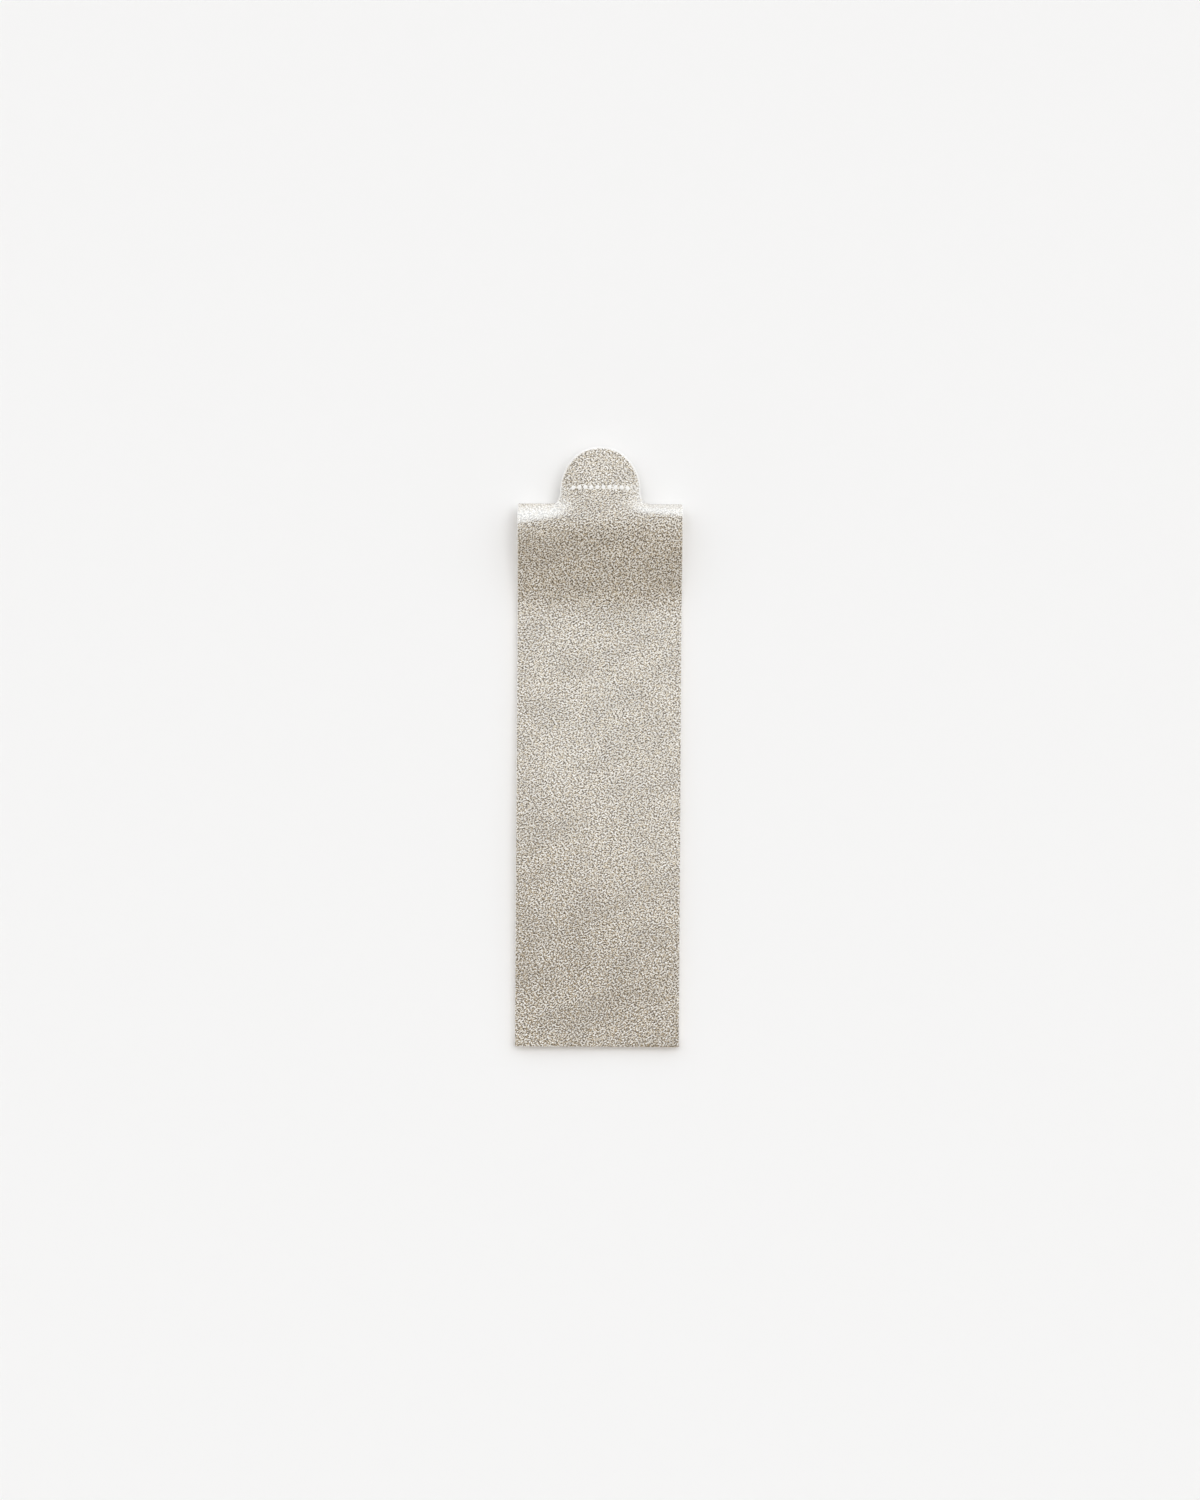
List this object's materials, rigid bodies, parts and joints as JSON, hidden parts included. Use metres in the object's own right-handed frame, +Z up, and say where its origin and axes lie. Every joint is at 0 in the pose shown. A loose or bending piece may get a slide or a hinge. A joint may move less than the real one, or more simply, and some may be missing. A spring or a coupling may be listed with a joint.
{
  "type": "folded leather bookmark",
  "caption": "Strip of metallic leather folded over a soft roll, with a round tab above the fold, that slips over the edge of a page to mark it.",
  "frame": {"origin": "centre of the bookmark's footprint, on the table that the back leaf lies on", "axes": "+X across the strip to the right, +Y along the strip from the free ends to the tab, +Z up out of the front leaf"},
  "size_m": [0.04, 0.1456, 0.007],
  "materials": {
    "leather_core": "undyed flesh side and cut edges, fine suede nap",
    "metal_film": "champagne metallised film on a fine wrinkled leather grain"
  },
  "bodies": {
    "back": {"back_leaf": "leather_core", "back_leaf_film": "metal_film"},
    "lower_roll": {"left_lower_roll": "leather_core", "left_lower_roll_film": "metal_film", "right_lower_roll": "leather_core", "right_lower_roll_film": "metal_film"},
    "upper_roll": {"left_upper_roll": "leather_core", "left_upper_roll_film": "metal_film", "right_upper_roll": "leather_core", "right_upper_roll_film": "metal_film"},
    "front": {"front_leaf": "leather_core", "front_leaf_film": "metal_film"},
    "tab": {"tab": "leather_core", "tab_film": "metal_film"}
  },
  "joints": [
    {"name": "fold_back", "type": "hinge", "parent": "back", "child": "lower_roll", "pos_m": [0, 0.0575, 0.00047], "axis": [-1, 0, 0], "range_deg": [0, 60.6], "stiffness_Nm_per_rad": 0.012},
    {"name": "fold_middle", "type": "hinge", "parent": "lower_roll", "child": "upper_roll", "pos_m": [0, 0.05925, 0.0035], "axis": [-1, 0, 0], "range_deg": [0, 60.6], "stiffness_Nm_per_rad": 0.012},
    {"name": "fold_front", "type": "hinge", "parent": "upper_roll", "child": "front", "pos_m": [0, 0.0575, 0.00653], "axis": [-1, 0, 0], "range_deg": [0, 60.6], "stiffness_Nm_per_rad": 0.012},
    {"name": "tab_flex", "type": "hinge", "parent": "front", "child": "tab", "pos_m": [0, 0.06295, 0.00645], "axis": [-1, 0, 0], "range_deg": [-40, 20], "stiffness_Nm_per_rad": 0.002}
  ],
  "couplings": [
    {"joint": "fold_back", "follows": "fold_middle", "ratio": 1},
    {"joint": "fold_front", "follows": "fold_middle", "ratio": 1}
  ]
}
